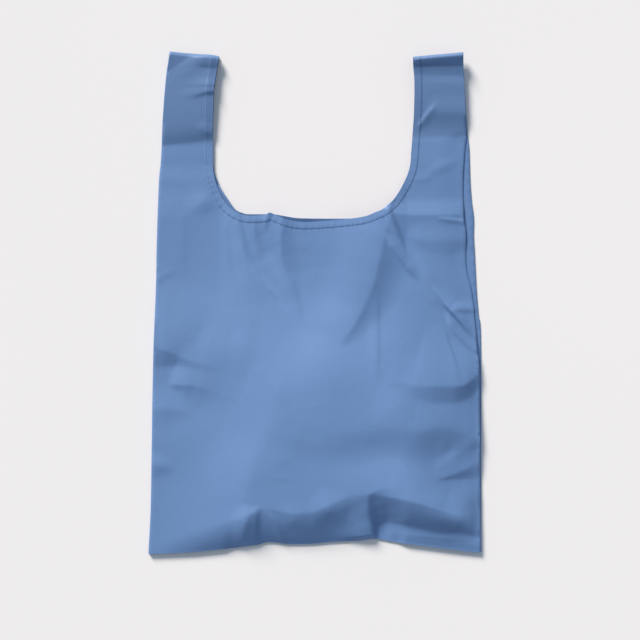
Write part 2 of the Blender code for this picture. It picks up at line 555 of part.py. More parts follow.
class Sheet:
    """Collects the corners and faces of one open sheet of cloth."""

    def __init__(self):
        self.corners = []
        self.faces = []

    def add_corner(self, x, y, z, outward=0.0):
        real_x, real_y = place(x, y)
        self.corners.append((float(real_x) + outward, float(real_y), float(z)))
        return len(self.corners) - 1

    def add_layer(self, outline, lines, points, height, face_up):
        """Fill an outline at its height, and return the numbers of the outline's corners."""
        flat, faces, numbers = triangulate(outline, lines, points)
        first = len(self.corners)
        heights = height(np.array([p[0] for p in flat]), np.array([p[1] for p in flat]))
        for (x, y), z in zip(flat, heights):
            self.add_corner(x, y, z)
        for face in faces:
            face = face if face_up else face[::-1]
            self.faces.append(tuple(first + i for i in face))
        return [first + i for i in numbers]

    def add_fold(self, upper, lower, side):
        """Join two edges by a rounded fold that stands out to the given side."""
        middle = []
        for a, b in zip(upper, lower):
            top, low = Vector(self.corners[a]), Vector(self.corners[b])
            bulge = side * min(abs(top.z - low.z), 4 * CLOTH) / 2
            self.corners.append(((top.x + low.x) / 2 + bulge, top.y, (top.z + low.z) / 2))
            middle.append(len(self.corners) - 1)
        for one, other in ((upper, middle), (middle, lower)):
            for i in range(len(one) - 1):
                quad = (one[i], other[i], other[i + 1], one[i + 1])
                self.faces.append(quad if side > 0 else quad[::-1])

    def build(self, name, material):
        mesh = bpy.data.meshes.new(name)
        mesh.from_pydata(self.corners, [], self.faces)
        mesh.materials.append(material)
        cloth = bpy.data.objects.new(name, mesh)
        bpy.context.collection.objects.link(cloth)
        thickness = cloth.modifiers.new("Cloth thickness", "SOLIDIFY")
        thickness.thickness = CLOTH
        thickness.offset = 0.0
        return cloth


def gusset_edge(neck, side):
    """Part of the neck that bounds a gusset, from the handle down to the side seam."""
    line = neck if side < 0 else neck[::-1]
    kept = [line[0]]
    for before, point in zip(line, line[1:]):
        if side * point[0] <= DRAWN_SEAM:
            if side * before[0] > DRAWN_SEAM:
                t = (side * before[0] - DRAWN_SEAM) / (side * (before[0] - point[0]))
                kept.append((side * DRAWN_SEAM, before[1] + t * (point[1] - before[1])))
            break
        kept.append(point)
    return kept


def side_strip(side, neck, side_line):
    """Outline of one gusset half: up its outer edge, then round to the bottom again."""
    outer = spaced(side_line if side < 0 else side_line[::-1], SIDE_STEP)
    end = LEFT_END if side < 0 else RIGHT_END[::-1]
    inner = LEFT_INNER if side < 0 else RIGHT_INNER[::-1]
    across = spaced(end, PLAIN_STEP)[1:-1]
    neck_part = gusset_edge(neck, side)
    down = inner + neck_part[1:]
    seam_bottom = (side * DRAWN_SEAM, float(edge_y(BOTTOM, side * DRAWN_SEAM)))
    seam = spaced([down[-1], seam_bottom], PLAIN_STEP)[1:]
    along = [p for p in sorted(BOTTOM, key=lambda p: -side * p[0]) if side * p[0] > DRAWN_SEAM + 1]
    back = spaced([seam_bottom] + along[::-1][:-1] + [outer[0]], PLAIN_STEP)[1:-1]
    return outer, outer + across + down + seam + back


def crease_lines(outline):
    """The creases of the curled handle ends that cross an outline, from edge to edge."""
    right = sorted(p for p in outline if p[1] == CURL_START and p[0] > 0)
    left = [p for p in CORNER_CREASE if p in outline]
    return [line for line in (right, left) if len(line) == 2]


def make_panel(name, neck, right_side, is_front, material):
    """One half of the bag: a face and the two gusset strips folded in at its sides."""
    sheet = Sheet()
    height = front_height if is_front else flat_height(BACK_LEVEL)
    gusset_height = flat_height(FRONT_GUSSET_LEVEL if is_front else BACK_GUSSET_LEVEL)
    step = CREST_STEP if is_front else PLAIN_STEP
    left_outer, left_strip = side_strip(-1, neck, LEFT_SIDE)
    right_outer, right_strip = side_strip(1, neck, right_side)
    bottom = spaced([left_outer[0]] + BOTTOM[1:-1] + [right_outer[0]], step)
    mouth = spaced(LEFT_END[:-1] + LEFT_INNER[:-1] + neck[:-1] + RIGHT_INNER + RIGHT_END[1:], step)
    outline = left_outer + mouth[1:-1] + right_outer[::-1] + bottom[1:-1][::-1]
    stitches = hem_line(neck)
    lines = [stitches] + crease_lines(outline)
    points = fill_points(outline, stitches, height if is_front else None)
    numbers = sheet.add_layer(outline, lines, points, height, face_up=is_front)
    start = len(left_outer) + len(mouth) - 2
    left_edge = numbers[:len(left_outer)]
    right_edge = numbers[start:start + len(right_outer)][::-1]
    for side, edge, strip in ((-1, left_edge, left_strip), (1, right_edge, right_strip)):
        numbers = sheet.add_layer(strip, crease_lines(strip), [], gusset_height, face_up=not is_front)
        inner = numbers[:len(edge)]
        upper, lower = (edge, inner) if is_front else (inner, edge)
        sheet.add_fold(upper, lower, side)
    return sheet.build(name, material)


def make_thread(name, path, material):
    """A fine tube along a list of points in metres."""
    curve = bpy.data.curves.new(name, "CURVE")
    curve.dimensions = "3D"
    curve.bevel_depth = THREAD / 2
    curve.bevel_resolution = 1
    curve.use_fill_caps = True
    spline = curve.splines.new("POLY")
    spline.points.add(len(path) - 1)
    for point, (x, y, z) in zip(spline.points, path):
        point.co = (x, y, z, 1.0)
    curve.materials.append(material)
    thread = bpy.data.objects.new(name, curve)
    bpy.context.collection.objects.link(thread)
    return thread


def stitching(neck, height):
    """Path of the thread that lies on the hem of one half."""
    line = hem_line(neck)
    heights = height(np.array([p[0] for p in line]), np.array([p[1] for p in line]))
    above = CLOTH / 2 + GAP + THREAD / 2
    return [(*map(float, place(x, y)), float(z) + above) for (x, y), z in zip(line, heights)]


def edge_seam(edge):
    """Path of a seam inside the given edge, between the back cloth and what lies on it."""
    inset = SEAM_INSET * 1000
    low = edge[0][1] < 0
    line = spaced([(x, y + inset if low else y - inset) for x, y in edge], SIDE_STEP)
    middle = (line[0][0] + line[-1][0]) / 2
    half = abs(line[-1][0] - line[0][0]) / 2 - inset
    line = [(middle + np.clip(x - middle, -half, half), y) for x, y in line]
    return [(*map(float, place(x, y)), THREAD_LEVEL + float(lift(x, y))) for x, y in with_crossings(line)]


def side_seam(side):
    """Path of a side seam, along the inner edges of the two gusset halves."""
    x = side * (SEAM_SPACING / 2 - GAP - THREAD / 2)
    level = (BACK_GUSSET_LEVEL + FRONT_GUSSET_LEVEL) / 2
    low = float(edge_y(BOTTOM, side * DRAWN_SEAM))
    high = min(gusset_edge(FRONT_NECK, side)[-1][1], gusset_edge(BACK_NECK, side)[-1][1])
    inset = 2 * SEAM_INSET * 1000
    ends = [float(place(side * DRAWN_SEAM, y)[1]) for y in (low + inset, high - inset)]
    return [(x, y, level) for y in ends]


def main():
    clear_scene()
    cloth = make_material("blue_nylon", CLOTH_COLOUR, 0.5)
    thread = make_material("blue_thread", THREAD_COLOUR, 0.6)
    make_panel("front_panel", FRONT_NECK, FRONT_RIGHT_SIDE, True, cloth)
    make_panel("back_panel", BACK_NECK, BACK_RIGHT_SIDE, False, cloth)
    make_thread("front_neck_stitching", stitching(FRONT_NECK, front_height), thread)
    make_thread("back_neck_stitching", stitching(BACK_NECK, flat_height(BACK_LEVEL)), thread)
    make_thread("left_side_seam_thread", side_seam(-1), thread)
    make_thread("right_side_seam_thread", side_seam(1), thread)
    make_thread("bottom_seam_thread", edge_seam(BOTTOM), thread)
    make_thread("left_handle_seam_thread", edge_seam(LEFT_END), thread)
    make_thread("right_handle_seam_thread", edge_seam(RIGHT_END), thread)


main()
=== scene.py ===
import bpy
import numpy as np
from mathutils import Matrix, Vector
from mathutils.geometry import delaunay_2d_cdt
from mathutils.kdtree import KDTree


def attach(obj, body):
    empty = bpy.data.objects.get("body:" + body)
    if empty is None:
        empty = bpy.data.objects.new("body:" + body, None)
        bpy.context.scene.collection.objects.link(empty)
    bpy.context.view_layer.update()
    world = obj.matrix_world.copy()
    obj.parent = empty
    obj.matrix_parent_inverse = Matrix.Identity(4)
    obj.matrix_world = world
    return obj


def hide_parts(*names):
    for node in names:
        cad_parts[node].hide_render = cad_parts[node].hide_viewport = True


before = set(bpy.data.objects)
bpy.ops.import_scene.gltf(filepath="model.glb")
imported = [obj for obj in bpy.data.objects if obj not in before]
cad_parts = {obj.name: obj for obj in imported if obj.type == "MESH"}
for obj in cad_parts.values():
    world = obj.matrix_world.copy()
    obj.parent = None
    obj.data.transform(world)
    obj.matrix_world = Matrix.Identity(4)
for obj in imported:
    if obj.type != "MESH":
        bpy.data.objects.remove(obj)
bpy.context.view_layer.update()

MM = 0.001

# Sizes of the cloth, in millimetres
CLOTH = 0.4
HEM_WIDTH = 8.5
HEM_RISE = 0.4
SEAM_X = 114.0                  # the side seams, where the gussets end inside
NECK_Y = 99.5
THREAD = 0.45
STITCH_LENGTH = 2.5
STITCH_GAP = 0.5
STITCH_INSET = 0.7              # the row of stitches runs this far inside the hem's inner edge
STITCH_SAMPLE = 0.25            # spacing of the points that a row of stitches is laid on
STITCH_SIDES = 6

# Levels of the middle of each layer above the table, in millimetres
BACK_LEVEL = 0.2
BACK_GUSSET_LEVEL = 1.7
FRONT_GUSSET_LEVEL = 2.4
FRONT_LEVEL = 3.9
FRONT_EDGE_LEVEL = 1.7
BODY_LOFT = 12.0
MOUTH_GAPE = 8.0
BACK_LIP = 3.2                  # the back's hem stands up behind the front's
HANDLE_CURL = 7.5
CORNER_CURL = 2.6
# How far the layers sink where they lie pressed together
BACK_GUSSET_DROP = 0.6
FRONT_GUSSET_DROP = 0.7
FRONT_DROP = 1.6
LOWEST_FRONT = 1.6

# Half the size of the grid that the front's height is worked out on
GRID_HALF_WIDTH = 204.0
GRID_HALF_HEIGHT = 304.0

# Distances from the neck edge of the lines of corners that follow the hem
HEM_LINES = (0.9, 3.6, 6.4, 7.2, 7.9, 8.7, 9.8)
HEM_LINE_STEP = 1.7
LEAST_BEND = 0.035              # the mesh is fine where the front bends more than this

# Spacing of the mesh, in millimetres
RELIEF_STEP = 1.0
SWELL_SOFTENING = 36
FOLD_SOFTENING = 2
PLAIN_STEP = 3.0
FINE_STEP = 1.4
EDGE_STEP = 2.5
STRIP_STEP = 7.0
BACK_STEP = 6.0

# Outlines of the cloth, in millimetres
CURL_START = 277.0
CORNER_CREASE = ((-173, 271), (-142.8, 292.6))
LEFT_SIDE = [(-194.6, -295), (-191.7, -233), (-189.6, -100), (-188.3, -49), (-185.6, 21), (-184.6, 74),
             (-182.2, 141), (-179.8, 170), (-177.7, 215), (-175.3, 248), (-173, 271), (-171, 283),
             (-169.3, 294.8)]
LEFT_END = [(-169.3, 294.8), (-154.9, 293.4), (-142.8, 292.6), (-135.2, 292), (-123.4, 291.5),
            (-112.3, 289.6)]
LEFT_INNER = [(-112.3, 289.6), (-115.3, 271), (-118, 253), (-119, 232), (-119.9, 210), (-119.9, 183),
              (-119.9, 165)]
RIGHT_INNER = [(114, 183), (116.6, 220), (117.3, 246), (117.2, 264), (116, 277), (115.4, 288)]
RIGHT_END = [(115.4, 288), (136, 289.9), (154, 291.3), (173, 293)]
BACK_RIGHT_SIDE = [(173, 293), (173.4, 285), (176.6, 238), (179.6, 197), (181.2, 180), (182.2, 146),
                   (184, 121), (186.6, 100), (186.4, 80), (187.4, 62), (189.8, 15), (192, -13),
                   (195, -55), (195, -293.2)]
FRONT_RIGHT_SIDE = [(173, 293), (173.2, 285), (175.8, 238), (177.8, 197), (176.2, 183), (174, 153),
                    (174, 123), (174.6, 97), (176.9, 83), (177.7, 43), (183.7, 16), (187.5, -18),
                    (190.4, -57), (192.7, -90), (194, -293.2)]
BOTTOM = [(-194.6, -295), (-147.8, -293), (-117, -290), (-97, -288), (-78, -285.5), (-66.2, -284),
          (-61.4, -282.5), (-54.7, -281), (-44.6, -281.4), (-33.8, -283.2), (-9.5, -283.2), (2.8, -282.5),
          (17.6, -281), (35.5, -280), (54, -279), (71.7, -277.2), (98, -281.5), (137, -286.5),
          (166, -290.4), (194.6, -293.2)]
FRONT_NECK = [(-119.9, 165), (-119.3, 156), (-117, 145), (-113.7, 135), (-109.2, 125), (-105.8, 119),
              (-101.3, 113.4), (-96.3, 109.6), (-88, 105), (-79.7, 102.8), (-68, 102.6), (-57.5, 103.5),
              (-52.7, 105.6), (-46, 103.2), (-38, 99.8), (-31.7, 97.6), (-21.6, 95.5), (-11.5, 94.8),
              (-0.9, 95.1), (20, 96.5), (36, 98), (50, 99.6), (61.5, 102.1), (72, 106.6), (78, 109),
              (85.5, 114.7), (94.6, 124), (105.1, 142), (111.8, 160), (114, 183)]
# Where the body turns down to its bottom edge, and the width of the flat strip below that
FOOT_WIDTH = 22.0
BOTTOM_TURN = [(-196, -288), (-150, -271), (-120, -262), (-100, -255), (-80, -249), (-67, -241),
               (-45, -242), (-24, -246), (0, -244), (18, -236), (40, -226), (65, -223), (88, -226),
               (114, -232), (133, -237), (147, -242), (168, -249), (196, -274)]
BACK_NECK = [(-119.9, 165), (-118.3, 153), (-110.4, 135), (-101.3, 121), (-92.9, 109.6), (-84, 105.5),
             (-79.7, 104.4), (-64, 104.2), (-50, 104.4), (-41.5, 103.2), (-24.5, 100.2), (-11.5, 99.4),
             (20, 99.2), (50, 99.8), (61.5, 102.3), (72, 107), (78, 109), (85.5, 114.7), (94.6, 124),
             (105.1, 142), (111.8, 160), (114, 183)]

# The shape of a fold's flank, from its crest at 0 to its foot at 1.
# A flat flank is crisp at both, a hollow one only at the crest, a round one only at the foot.
SOFTNESS = 0.12
FLANKS = {
    "flat": lambda u: np.clip((1 - u + np.sqrt((1 - u) ** 2 + SOFTNESS ** 2)
                               + 1 - np.sqrt(1 + SOFTNESS ** 2)) / 2, 0, None),
    "hollow": lambda u: np.clip(1 - u, 0, None) ** 2,
    "round": lambda u: 1 - np.clip(u, 0, 1) ** 2,
    "soft": lambda u: 1 - ease(u),
}

# Broad swells of the front cloth. Each has a crest, as points (x, y, rise), and the widths
# over which the cloth falls away softly on its left and on its right, seen along the crest.
SWELLS = {
    "bottom roll": (
        [(-40, -252, 0), (0, -246, 0.6), (20, -240, 1.4), (42, -229, 2.6), (65, -223, 3.6),
         (88, -229, 4.6), (114, -236, 5), (140, -245, 5), (168, -254, 3.6), (200, -272, 0)],
        90, [20, 24, 28, 34, 40, 42, 36, 28, 20, 14]),
    "lower right ridge": (
        [(-10, -146, 0), (40, -140, 0.6), (78, -126, 1.4), (100, -110, 1.4), (122, -94, 0)],
        120, 36),
    "lower right swell": (
        [(-20, -154, 0), (8, -152, 2.2), (30, -149, 3.8), (60, -144, 5), (84, -141, 5.6),
         (104, -143, 5.8), (120, -146, 5.6), (138, -146, 5.2), (156, -145, 4.8), (172, -149, 3.8),
         (204, -162, 2)],
        170, [38, 42, 44, 44, 44, 44, 44, 42, 42, 38, 32]),
    "right low edge": ([(176, -210, 0), (180, -230, 2), (181, -250, 2), (184, -272, 0)], 22, 70),
    "funnel right": (
        [(60, -16, 0), (42, -44, 2.2), (16, -70, 3.2), (-6, -106, 3), (-18, -140, 1.8),
         (-26, -172, 0)],
        76, 60),
    "middle right ridge": (
        [(84, 104, 0), (72, 78, 1.4), (64, 50, 2), (56, 22, 2.4), (48, 2, 2.2), (36, -18, 1.6),
         (20, -40, 0)],
        44, 70),
    "centre rise": (
        [(-140, -52, 0), (-90, -62, 2.2), (-40, -88, 3.4), (10, -86, 2.6), (50, -64, 0)],
        90, 100),
    "left brow": (
        [(-176, -42, 0), (-144, -45, 1.6), (-112, -47, 2.2), (-86, -50, 1.4), (-68, -52, 0)],
        90, [40, 60, 64, 60, 40]),
    "middle low brow": (
        [(-100, -108, 0), (-74, -112, 0.8), (-46, -118, 0.5), (-14, -112, 0)],
        40, 46),
    "lower left rise": (
        [(-110, -240, 0), (-84, -218, 1.1), (-56, -200, 2.2), (-34, -182, 2.6), (-18, -160, 2.5),
         (-8, -136, 1.4), (-2, -108, 0)],
        70, 130),
    "left body": ([(-196, -150, 1.4), (-160, -160, 1.6), (-120, -170, 0)], 50, 60),
    "right handle low swell": ([(104, 158, 0.5), (150, 158, 0.5), (190, 160, 0.5)], 34, 36),
    "left shoulder swell": ([(-188, 170, 0.9), (-150, 174, 0.9), (-112, 178, 0.7)], 50, 40),
    "left shoulder spot": ([(-136, 132, 0), (-128, 118, 1.6), (-124, 104, 0)], 14, 30),
    "left handle diagonal": (
        [(-166, 268, 0), (-152, 274, 1), (-138, 283, 1), (-124, 292, 0)],
        16, 16),
    "right body": ([(70, 60, 0), (100, 10, 1.6), (110, -40, 1.6), (104, -90, 0)], 60, 60),
}

# Creases of the front cloth, with the shape of each flank before its widths.
FOLDS = {
    "bottom right roll": (
        [(30, -238, 0), (48, -231, 0.6), (65, -224, 1.2), (88, -230.5, 2.2), (114, -237, 2.6),
         (133, -244.5, 3), (147, -251, 3.2), (168, -254, 3), (181, -263, 1.6), (197, -275, 0)],
        ("soft", [50, 60, 60, 60, 50, 40, 32, 28, 22, 14]),
        ("round", [20, 30, 36, 34, 30, 24, 19, 17, 12, 6])),
    "bottom right tuck": (
        [(62, -232, 0), (62.5, -240, 1), (64, -252, 2.8), (66, -264, 4.4), (68.5, -284, 5.6)],
        ("flat", 7), ("soft", [20, 30, 40, 46, 46])),
    "bottom right tuck floor": (
        [(65, -222, 0), (69, -231, -2.6), (72, -242, -4.2), (74, -254, -3.8), (76, -266, -2),
         (78, -280, 0)],
        ("soft", [30, 36, 40, 40, 30, 20]), ("flat", 8)),
    "bottom right band": (
        [(76, -262, 0), (92, -264, 1.6), (112, -267, 2.4), (147, -270, 2.8), (176, -272, 2.8),
         (200, -278, 2.4)],
        ("soft", 34), ("soft", 22)),
    "bottom right band line": (
        [(96, -272, 0), (120, -273, 0.4), (150, -276, 0.5), (186, -278, 0)],
        ("flat", 4), ("flat", 4)),
    "bottom left peak": (
        [(-66, -238, 0), (-67.5, -246, 1.6), (-69, -258, 2.2), (-70.5, -284, 2)],
        ("flat", 5), ("soft", 30)),
    "bottom left flank": (
        [(-70, -242, 0), (-80, -256, 1.2), (-84, -270, 1.4), (-88, -288, 1)],
        ("flat", 9), ("soft", 26)),
    "bottom left facet": (
        [(-60, -243, 0), (-48, -253, 1.2), (-42, -266, 1.5), (-36, -284, 1.2)],
        ("flat", 6), ("hollow", 26)),
    "bottom middle peak": (
        [(-44, -272, 0), (-26, -256, 1.2), (-6, -262, 0.4), (17, -243, 1.8), (34, -252, 0.8),
         (54, -262, 0)],
        ("soft", 30), ("flat", 16)),
    "lower right band": (
        [(84, -90, 0), (104, -93, 1), (120, -96.5, 3), (138, -97.5, 4.8), (165, -97.5, 5.8),
         (177, -95, 5.4), (200, -79, 3)],
        ("soft", [50, 60, 70, 80, 80, 70, 50]), ("flat", [14, 18, 20, 21, 20, 16, 12])),
    "lower right swell crest": (
        [(70, -148, 0), (90, -146, 1), (106, -147, 1.8), (120, -150, 2.4), (138, -147, 2.6),
         (156, -147, 2.4), (172, -152, 1.8), (198, -162, 0.8)],
        ("soft", 60), ("flat", [30, 38, 40, 39, 36, 32, 24, 16])),
    "lower right swell foot": (
        [(60, -190, 0), (90, -187, 0.8), (120, -186, 1.2), (150, -184, 1), (172, -176, 0)],
        ("flat", 26), ("soft", 40)),
    "right edge wedge": (
        [(140, -207.6, 0), (156, -203, 1.2), (172, -197, 2.4), (204, -184, 4.2)],
        ("soft", [20, 50, 60, 70]), ("flat", [3, 6, 11.5, 25])),
    "right edge light": (
        [(140, -196, 0), (158, -186, 0.6), (176, -172, 0.7), (200, -156, 0.5)],
        ("soft", 14), ("hollow", 14)),
    "right deep crease": (
        [(138, 20, 0), (146, 9, 1.6), (154, -3, 4), (161, -11, 4.8), (169, -20, 4),
         (178, -31, 2.4), (188, -44, 0)],
        ("hollow", 18), ("flat", [2.5, 2.4, 2.4, 2.4, 2.6, 3, 3])),
    "right second crease": (
        [(155, -10, 0), (160, -25, 2), (172, -42, 2), (190, -60, 0)],
        ("hollow", 10), ("flat", 4)),
    "right short fold": (
        [(160, -7, 0), (170, -7.5, 1.1), (198, -8, 1.4)],
        ("soft", 12), ("flat", 5)),
    "right low facet": (
        [(118, 60, 0), (134, 34, 1.4), (146, 8, 1.2), (152, -8, 0)],
        ("hollow", 12), ("soft", 20)),
    "neck right streak": (
        [(85, 110, 4.6), (91, 96, 4), (98, 79, 2.2), (107, 58, 0)],
        ("flat", [5, 6, 7, 5]), ("flat", [5, 6, 7, 5])),
    "neck right thin crease": (
        [(84, 80, 0), (91, 67, 2.4), (100, 54, 3), (110, 40, 2.4), (121, 27, 0)],
        ("soft", 14), ("flat", 5)),
    "middle right crease": (
        [(89, 104, 1), (82, 78, 3.2), (76, 50, 4.4), (69, 22, 4.6), (61, 2, 4), (51, -18, 3),
         (40, -36, 1.6), (28, -50, 0)],
        ("hollow", [24, 32, 36, 36, 30, 24, 20, 14]), ("soft", 60)),
    "storage crease": (
        [(72, 16, 0), (73, -10, 0.8), (73, -60, 0.7), (73, -98, 0)],
        ("flat", 4), ("soft", 16)),
    "shoulder pleat": (
        [(84, 105, 0.8), (105, 103.5, 2.4), (140, 103, 2.8), (186, 104, 2.8)],
        ("flat", 18), ("hollow", 34)),
    "shoulder fold": (
        [(108, 80, 0), (122, 74, 1.2), (140, 72.5, 1.7), (160, 72.5, 1.9), (188, 74, 1.5)],
        ("soft", 30), ("flat", [5, 9, 16, 16, 9])),
    "shoulder nick": ([(140, 99, 0), (156, 98, 1.2), (188, 94, 1.6)], ("flat", 3), ("hollow", 8)),
    "right handle wrinkle": (
        [(172, 168, 0), (158, 163, 0.5), (146, 158, 0.7), (130, 150, 0)],
        ("soft", 9), ("soft", 12)),
    "right handle nook": (
        [(140, 148, 0), (132, 146, 0.5), (122, 145, 0.5), (112, 146, 0)],
        ("soft", 6), ("soft", 10)),
    "right handle upper swell": (
        [(100, 254, 4), (150, 254, 4.2), (194, 254, 4.2)],
        ("soft", 300), ("round", 58)),
    "right handle step": (
        [(128, 226, 0), (146, 223, 1.4), (188, 222, 1.4)],
        ("soft", 26), ("hollow", 20)),
    "right handle diagonal": (
        [(119, 204, 0), (124, 210, 1.3), (131, 219, 1.6), (138, 228, 1), (143, 235, 0)],
        ("flat", 4), ("hollow", 12)),
    "right handle low ridge": (
        [(104, 277.5, 1.6), (140, 277.5, 1.9), (190, 276.5, 1.9)],
        ("soft", 300), ("flat", 10)),
    "right handle low rise": (
        [(124, 259, 0), (140, 258, 0.5), (188, 257, 0.5)],
        ("soft", 8), ("soft", 20)),
    "neck left gather 1": (
        [(-86, 100, -1), (-77, 66, -2.8), (-70, 47, -3.4), (-62, 32, -2.8), (-54, 19, -1.8),
         (-44, 4, -0.8), (-34, -14, 0)],
        ("soft", 44), ("flat", [6, 8, 9, 10, 9, 7, 6])),
    "neck left gather 2": (
        [(-70, 96, 0), (-64, 78, -2.2), (-57, 60, -3), (-50, 46, -2), (-43, 30, -0.8), (-38, 16, 0)],
        ("soft", 30), ("flat", [4, 8, 9, 8, 6, 5])),
    "neck left gather 3": (
        [(-20, 100, -2.8), (-18, 78, -4), (-17, 56, -4.2), (-16, 38, -3.6), (-14, 22, -2.4),
         (-12, 0, -1), (-10, -24, 0)],
        ("soft", 66), ("round", [20, 22, 22, 20, 16, 12, 10])),
    "neck left gather 4": (
        [(-79, 58, 0), (-70, 40, 0.8), (-62, 27, 1.2), (-52, 15, 1), (-40, 5, 0)],
        ("flat", 4), ("soft", 7)),
    "neck left gather 5": (
        [(-53, 106, 1.8), (-56, 96, 1.2), (-59, 84, 0)],
        ("flat", 5), ("soft", 8)),
    "neck left faint fold": (
        [(-101, 94, 0), (-97, 74, -0.9), (-92, 44, -1), (-85, 18, 0)],
        ("soft", 30), ("round", 9)),
    "left brow crease": (
        [(-96, -36, 0), (-80, -52, 1), (-62, -82, 1.4), (-46, -102, 1), (-30, -120, 0)],
        ("hollow", 40), ("hollow", 40)),
    "diagonal ridge": (
        [(-12, -134, 0), (-20, -160, 0.4), (-30, -180, 0.5), (-48, -190, 0.5), (-66, -204, 0.3),
         (-86, -217, 0)],
        ("hollow", [20, 28, 32, 32, 28, 20]), ("soft", 44)),
    "middle low line": (
        [(-62, -204, 0), (-40, -205, 0.3), (-14, -206, 0)],
        ("soft", 10), ("flat", 7)),
    "left notch": (
        [(-204, -50, 5.6), (-186, -53, 5.4), (-172, -57, 4.6), (-158, -63, 3), (-146, -68, 1.6),
         (-128, -74, 0.7), (-104, -80, 0)],
        ("soft", 90), ("flat", [28, 24, 21, 15, 12, 12, 12])),
    "left notch wedge": (
        [(-172, -96, 0), (-163, -96.5, 1.8), (-150, -97, 3.4), (-134, -99, 3), (-112, -106, 1.2),
         (-88, -114, 0)],
        ("soft", [24, 32, 56, 80, 80, 60]), ("hollow", [6, 12, 24, 34, 34, 30])),
    "left triangle foot": (
        [(-204, -125, 2), (-176, -126, 1.8), (-160, -127, 1.2), (-140, -131, 0)],
        ("soft", 34), ("hollow", [30, 28, 24, 16])),
    "left edge ripple 1": (
        [(-198, 36, 0.8), (-184, 41, 0.5), (-176, 44, 0)],
        ("hollow", 8), ("flat", 4)),
    "left edge ripple 2": (
        [(-196, 18, 0.8), (-184, 27, 0.7), (-172, 34, 0.5), (-160, 35, 0)],
        ("soft", 14), ("flat", 5)),
    "left edge ripple 3": (
        [(-204, -190, 2.2), (-184, -192, 1.8), (-164, -195, 0)],
        ("soft", 20), ("flat", 15)),
    "left edge tick": ([(-200, -208, 0.8), (-186, -209, 0)], ("hollow", 4), ("hollow", 4)),
    "left strip": (
        [(-156, 104, 0), (-154, 84, 0.4), (-153, 58, 0.4), (-153, 36, 0)],
        ("flat", 4), ("soft", 24)),
    "left shoulder facet": (
        [(-204, 103, 1.8), (-176, 101, 1.6), (-154, 100, 1.4), (-143, 106, 1.1), (-132, 118, 0.8),
         (-120, 134, 0)],
        ("soft", [40, 40, 40, 38, 34, 30]), ("hollow", [60, 70, 84, 60, 34, 20])),
    "left handle upper swell": (
        [(-192, 252, 3), (-150, 254, 3.2), (-104, 258, 3.4)],
        ("soft", 300), ("round", 67)),
    "left handle spot": (
        [(-142, 206, 0), (-132, 203, 1), (-124, 200, 1.2), (-116, 198, 1)],
        ("soft", 14), ("flat", [4, 9, 10, 8])),
    "left handle crease": (
        [(-156, 242, 0), (-140, 244, 1), (-128, 247, 1.7), (-110, 248, 2.6)],
        ("soft", [30, 30, 24, 20]), ("flat", [7, 6, 4.5, 2.5])),
    "left handle end fold": (
        [(-144, 287, 0), (-132, 288, 2), (-106, 289, 2.6)],
        ("flat", 8), ("round", [12, 13.5, 14.5])),
    "left handle valley": (
        [(-190, 204, 1.8), (-160, 208, 2.2), (-134, 212, 2.4), (-110, 215, 2)],
        ("soft", 70), ("round", 21)),
}


def ease(t):
    """Go smoothly from 0 to 1 as t does."""
    t = np.clip(t, 0.0, 1.0)
    return t * t * (3.0 - 2.0 * t)


def spaced(points, step):
    """Points along a line of straight runs, at most a step apart, with its corners kept."""
    out = [points[0]]
    for start, end in zip(points, points[1:]):
        count = max(1, int(np.ceil(np.hypot(end[0] - start[0], end[1] - start[1]) / step)))
        out += [tuple(a + (b - a) * i / count for a, b in zip(start, end)) for i in range(1, count + 1)]
    return out


def curve_through(points, step):
    """Points at most a step apart along a smooth curve through the given ones, of any width."""
    p = np.array(points, float)
    if len(p) == 2:
        return np.array(spaced([tuple(q) for q in p], step))
    ends = np.vstack([2 * p[0] - p[1], p, 2 * p[-1] - p[-2]])
    out = []
    for a, b, c, d in zip(ends, ends[1:], ends[2:], ends[3:]):
        count = max(1, int(np.ceil(np.hypot(*(c - b)[:2]) / step)))
        for t in np.arange(count) / count:
            point = b + (c - b) * t
            bend = 2 * b + (c - a) * t + (2 * a - 5 * b + 4 * c - d) * t ** 2
            point[:2] = ((bend + (3 * b - a - 3 * c + d) * t ** 3) / 2)[:2]
            out.append(point)
    return np.array(out + [p[-1]])


def smooth_line(points, step=EDGE_STEP):
    return [tuple(p) for p in curve_through(points, step)]


def edge_y(line, x):
    """Height up the cloth of an edge that runs across it."""
    line = sorted(line)
    return np.interp(x, [p[0] for p in line], [p[1] for p in line])


def edge_x(line, y):
    """Place across the cloth of an edge that runs up it."""
    line = sorted(line, key=lambda p: p[1])
    return np.interp(y, [p[1] for p in line], [p[0] for p in line])


